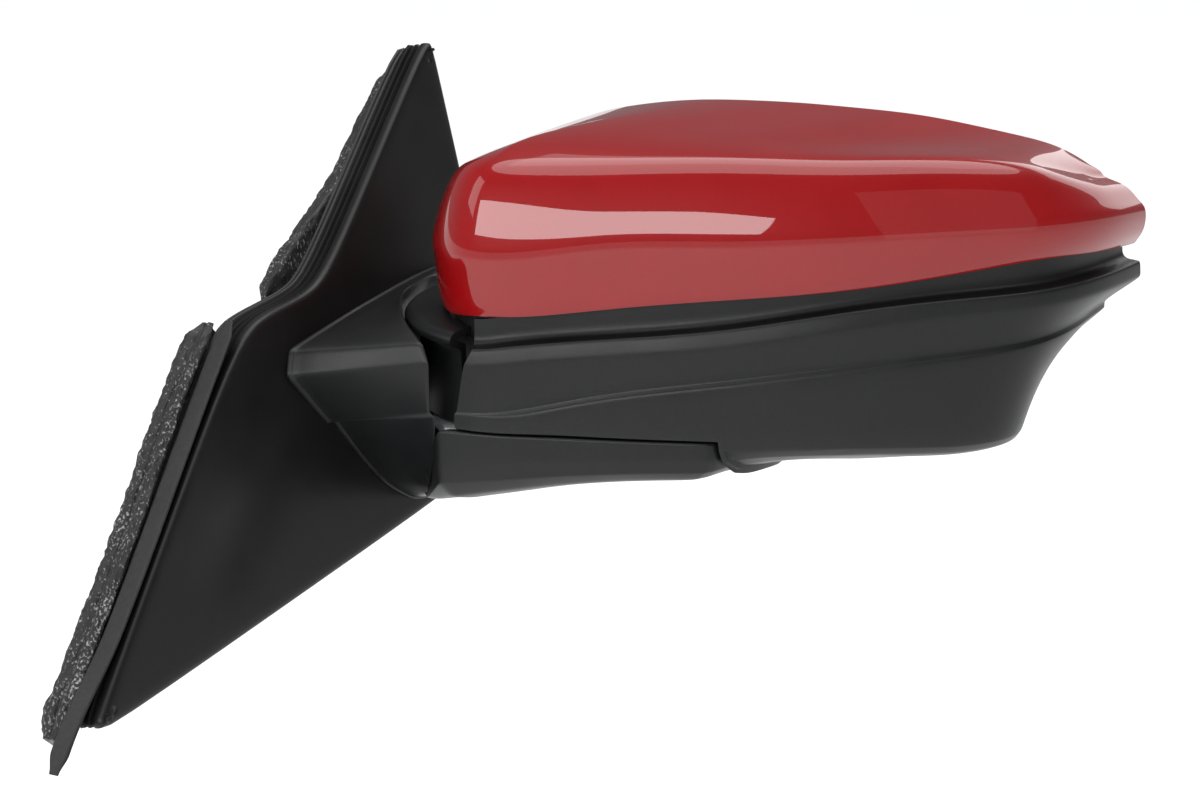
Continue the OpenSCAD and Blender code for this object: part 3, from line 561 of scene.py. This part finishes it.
def blade_grid(s):
    loop = rounded(blade_plan, blade_radii, 3, closed=True)
    return rounded(np.array([blade_row(p, s) for p in loop]), [0, 0.7, 2, 5, 6, 8, 8, 0], 3)


shell("blade_shell", blade_grid(0), blade_grid(WALL), "base", "satin_black", satin,
      replaced=["blade_cover"], wrap=True, sharp=50)


# ---- sail cover, seal and gaskets ----
def offset(loop, g):
    """A closed outline moved outwards by g along its own corners."""
    a, b = loop - np.roll(loop, 1, 0), np.roll(loop, -1, 0) - loop
    n1, n2 = unit(np.stack([a[:, 1], -a[:, 0]], 1)), unit(np.stack([b[:, 1], -b[:, 0]], 1))
    return loop + (n1 + n2) * g / np.maximum(1 + (n1 * n2).sum(1, keepdims=True), 0.3)


def evened(loop, step):
    """The same closed outline with points a step apart."""
    loop = np.concatenate([loop, loop[:1]])
    u = chords(loop)
    at = np.linspace(0, u[-1], int(u[-1] / step) + 1)[:-1]
    return np.stack([np.interp(at, u, loop[:, k]) for k in range(2)], 1)


def inside_of(points, loop):
    x, y = points[:, 0:1], points[:, 1:2]
    a, b = loop, np.roll(loop, -1, 0)
    meets = (b[:, 0] - a[:, 0]) * (y - a[:, 1]) / (b[:, 1] - a[:, 1] + 1e-12) + a[:, 0]
    cross = ((a[:, 1] > y) != (b[:, 1] > y)) & (x < meets)
    return cross.sum(1) % 2 == 1


skin_plan = np.array([[-168, -81], [92, -32], [84, 81], [79.5, 144], [-9, 55], [-56, 48]], float)
skin_radii = [4, 9, 30, 4, 7, 9]
skin_loop = evened(rounded(skin_plan, skin_radii, 4, closed=True), 1.6)
arm_window = np.array([[-10, 0], [0, -15], [14, -27], [60, -30], [66, 14], [-10, 14]], float)


def skin_height(points):
    """The skin's face is slightly hollow in front of the neck and fuller by its edges."""
    u, v = points[:, 0], points[:, 1]
    line = ((u + 78.3) - 0.672 * (v + 29.8)) / 1.205
    hollow = np.exp(-(line / 15) ** 2) * smooth((v + 60) / 40) * smooth((42 - v) / 30)
    return 16 - 1.2 * hollow


# Where the rounded edge meets the face, the spacing of the face's points, and its least triangle
BORDER, GRID_STEP, SLIVER = -5.0, 3.5, 0.01


def sail_piece():
    rings = [(0.3, 4.2), (0.0, 5.0), (0.0, 6.0), (-1.6, 6.6), (-1.6, 7.4), (-0.1, 7.9), (0.0, 9.0),
             (-1.8, 9.7), (-1.8, 10.5), (-0.2, 11.1), (0.0, 11.8), (0.0, 13.2), (-0.15, 14.5), (-0.6, 15.3),
             (-1.4, 15.8), (-2.6, 15.97), (BORDER, 16.0)]
    verts = [on_sail(*offset(skin_loop, g).T, np.full(len(skin_loop), n)) for g, n in rings]
    count = len(skin_loop)
    faces = []
    for k in range(len(rings) - 1):
        for i in range(count):
            j = (i + 1) % count
            faces.append((k * count + i, k * count + j, (k + 1) * count + j, (k + 1) * count + i))
    border = offset(skin_loop, BORDER)
    low, high = border.min(0), border.max(0)
    across, up = (np.arange(low[k], high[k], GRID_STEP) for k in range(2))
    grid = np.array([(x, y) for x in across for y in up])
    grid = grid[inside_of(grid, offset(skin_loop, -7.0)) & ~inside_of(grid, offset(arm_window, 2))]
    hole = evened(arm_window, 3)
    points = np.concatenate([border, hole, grid])
    edges = [(i, (i + 1) % count) for i in range(count)]
    edges += [(count + i, count + (i + 1) % len(hole)) for i in range(len(hole))]
    found = delaunay_2d_cdt([Vector(p) for p in points], edges, [], 0, 0.001)
    flat = np.array([tuple(p) for p in found[0]])
    base = sum(len(v) for v in verts)
    first = (len(rings) - 1) * count
    index = [first + i if i < count else base + i - count for i in range(len(flat))]
    height = skin_height(flat)
    verts.append(on_sail(*flat[count:].T, height[count:]))
    for f in found[2]:
        middle = flat[list(f)].mean(0)[None]
        (ax, ay), (bx, by) = flat[f[1]] - flat[f[0]], flat[f[2]] - flat[f[0]]
        if abs(ax * by - ay * bx) < SLIVER:
            continue
        if inside_of(middle, border)[0] and not inside_of(middle, arm_window)[0]:
            faces.append(tuple(index[i] for i in f))
    piece = make("sail_shell", np.concatenate(verts), faces, "base", "satin_black", skin, ["sail_cover"], 55)
    thick = piece.modifiers.new("wall", "SOLIDIFY")
    thick.thickness, thick.offset = 0.0022, -1
    return piece


sail_piece()


def ring_piece(name, loop, profile, radii, *args, **kw):
    """A closed section swept round an outline; the section's points are (outward, height)."""
    section = rounded(np.array([[g, n, 0] for g, n in profile], float), radii, 3, closed=True)[:, :2]
    rows = np.stack([on_sail(*offset(loop, g).T, np.full(len(loop), n)) for g, n in section], 1)
    rows = np.concatenate([rows, rows[:, :1]], 1)
    verts = rows[:, :-1].reshape(-1, 3)
    m, n = rows.shape[0], rows.shape[1] - 1
    faces = []
    for i in range(m):
        for j in range(n):
            a, b = i * n, (i + 1) % m * n
            faces.append((a + j, b + j, b + (j + 1) % n, a + (j + 1) % n))
    return make(name, verts, faces, *args, **kw)


seal_loop = evened(rounded(skin_plan, [6] * 6, 3, closed=True), 2.5)
ring_piece("seal_rail", seal_loop,
           [(-8, 0), (1.5, 0), (1.5, 1.2), (0.2, 1.6), (0.2, 2.4), (1.5, 2.8), (1.5, 3.9), (-2.5, 4.1),
            (-3.6, 6.4), (-8, 6.4)],
           [0.3, 0.3, 0.25, 0.2, 0.2, 0.25, 0.4, 0.3, 0.3, 0.3],
           "base", "frame_black", inside, ["seal_frame"], 50)


def strip(name, line, section, *args, ends=0.5, lumps=0.0, seed=0.0, **kw):
    """A section (outward, height) swept along a line on the flange and closed at both ends."""
    line = np.asarray(line, float)
    u = chords(line)
    at = np.linspace(0, u[-1], int(u[-1] / 1.5) + 1)
    path = np.stack([Curve(u, line[:, k])(a) for k in range(2) for a in at]).reshape(2, -1).T
    d = unit(np.gradient(path, axis=0))
    out = np.stack([-d[:, 1], d[:, 0]], 1)
    rows = []
    for i, (p, o) in enumerate(zip(path, out)):
        f = i / (len(path) - 1)
        close = min(1.0, ends + (1 - ends) * smooth(min(f, 1 - f) * u[-1] / 8))
        pts = section(f)
        mid = pts.mean(0)
        pts = mid + (pts - mid) * close
        rows.append(on_sail(p[0] + o[0] * pts[:, 0], p[1] + o[1] * pts[:, 0], pts[:, 1]))
    rows = np.array(rows)
    m, n = rows.shape[:2]
    verts = rows.reshape(-1, 3)
    if lumps:
        centre = rows.mean(1, keepdims=True)
        away = unit(rows - centre).reshape(-1, 3)
        start = Vector((seed, 0, 0))
        bumps = [noise.noise(Vector(v) * 0.22 + start) + 0.6 * noise.noise(Vector(v) * 0.7) for v in verts]
        verts = verts + away * (np.array(bumps) * lumps)[:, None]
    faces = [(i * n + j, (i + 1) * n + j, (i + 1) * n + (j + 1) % n, i * n + (j + 1) % n)
             for i in range(m - 1) for j in range(n)]
    faces += [tuple(range(n)), tuple((m - 1) * n + j for j in range(n - 1, -1, -1))]
    return make(name, verts, faces, *args, **kw)


def foam_section(points, far, near):
    """Section whose width runs from far at the strip's upper end to near at its lower end."""
    pts = rounded(np.array([[g, n, 0] for g, n in points], float), [2.5] * len(points), 5, closed=True)[:, :2]
    return lambda f: pts * [[lerp(near, far, f), 1]]


# The upper gasket tapers towards the tip of the triangle, and the lower one shows two rolls
upper = strip("foam_upper", [[-24, 52], [-10, 64], [25, 88], [52, 112], [74, 132]],
              foam_section([(-15, 0), (-15, -7), (-1, -9), (4.5, -7.5), (2.2, -5.0), (5.2, -3), (3.5, 0)],
                           0.3, 0.75),
              "base", "foam", foam, ["foam_gasket_upper"], 70, ends=0.35, lumps=0.8, seed=3.0)
lower = strip("foam_lower", [[-57, 48.6], [-64, 42], [-110, -11.5], [-150, -57.5], [-170, -80]],
              foam_section([(10, 0), (11, -7), (5, -9), (-2, -7.8), (-6.8, -5), (-6.6, -1), (-3.2, 0.6),
                            (-6.2, 2.2), (-5.4, 6.2), (-2.2, 6.8), (-1.6, 1)], 1, 1),
              "base", "foam", foam, ["foam_gasket_lower"], 70, lumps=0.9, seed=9.0)


def lip_section(f):
    """A thin flap beside the skin that curls out towards its pointed lower end."""
    curl = smooth((f - 0.7) / 0.3)
    top, foot = 14.8 - 4 * curl, 7.2 - 1.5 * curl
    face = [(-0.3 - curl, top), (-1.4 - curl * 2.0, lerp(top, foot, 0.5)), (-2.0 - curl * 3.5, foot)]
    rear = [(g + 1.2, n) for g, n in face[::-1]]
    outline = np.array([[g, n, 0] for g, n in face + rear], float)
    return rounded(outline, [0.4, 3, 0.4, 0.4, 3, 0.4], 4, closed=True)[:, :2]


strip("rubber_flap", [[-57.6, 50], [-90, 13], [-140, -44.5], [-169, -77.5], [-178, -90]], lip_section,
      "base", "rubber", rubber, ["rubber_lip"], 60, ends=0.5)

# ---- carried-over CAD nodes: finish and softened edges ----
bevels = {"rear_bezel": 0.8, "glass_holder": 0.4, "mirror_glass": 0.5, "base_bracket": 0.6,
          "mounting_studs": 0.3, "base_screws": 0.3, "retaining_clips": 0.4, "wire_grommet": 0.6,
          "head_frame": 0.4, "bezel_screws": 0.2}
for row in frame["record"]["subparts"]:
    node = nodes[row["node"]]
    if node.hide_render:
        continue
    node.data.materials.clear()
    node.data.materials.append(looks[row["material_slot"]])
    if row["node"] in bevels:
        soften = node.modifiers.new("edge", "BEVEL")
        soften.width = bevels[row["node"]] * MM
        soften.segments = 2
        soften.limit_method = "ANGLE"
        soften.angle_limit = math.radians(35)


# ---- stage ----
def softbox(name, place, aim, size, power, shade=(1, 1, 1)):
    light = bpy.data.lights.new(name, "AREA")
    light.shape = "RECTANGLE"
    light.size, light.size_y = size
    light.energy = power
    light.color = shade
    box = bpy.data.objects.new(name, light)
    box.location = place
    box.rotation_mode = "QUATERNION"
    box.rotation_quaternion = (Vector(place) - Vector(aim)).to_track_quat("Z", "Y")
    bpy.context.scene.collection.objects.link(box)
    return box


floor_mesh = bpy.data.meshes.new("floor")
FLOOR_Z, FLOOR_R = cad_box[0].z - 0.30, 14.0
signs = ((-1, -1), (1, -1), (1, 1), (-1, 1))
floor_mesh.from_pydata([(FLOOR_R * x, FLOOR_R * y, FLOOR_Z) for x, y in signs], [], [(0, 1, 2, 3)])
floor = bpy.data.objects.new("floor", floor_mesh)
bpy.context.scene.collection.objects.link(floor)
white = material("floor_white", (0.875, 0.875, 0.875), (0.885, 0.885, 0.885), (0.8, 0.9), 30, 0.0,
                 Specular_IOR_Level=0.0)
floor.data.materials.append(white)

world = bpy.data.worlds.new("studio")
world.use_nodes = True
world.node_tree.nodes["Background"].inputs["Color"].default_value = (0.95, 0.97, 1.0, 1)
world.node_tree.nodes["Background"].inputs["Strength"].default_value = 0.2
bpy.context.scene.world = world
overhead = bpy.data.objects.new("overhead", bpy.data.lights.new("overhead", "SUN"))
overhead.data.energy, overhead.data.angle = 2.9, math.radians(70)
bpy.context.scene.collection.objects.link(overhead)
softbox("front_box", (-0.08, -1.49, 0.56), (0.13, 0, 0.08), (1.9, 0.38), 20)
softbox("top_box", (0.15, 0.45, 1.7), (0.15, 0.05, 0.1), (1.6, 1.2), 6)
softbox("side_box", (-1.5, -0.9, 0.9), (0, 0, 0), (0.8, 0.8), 5)
softbox("right_box", (1.7, -1.0, 0.5), (0.2, 0, 0.05), (1.3, 1.6), 2.5)
softbox("back_box", (0.6, 1.8, 1.0), (0.1, 0, 0.05), (1.4, 0.9), 8)
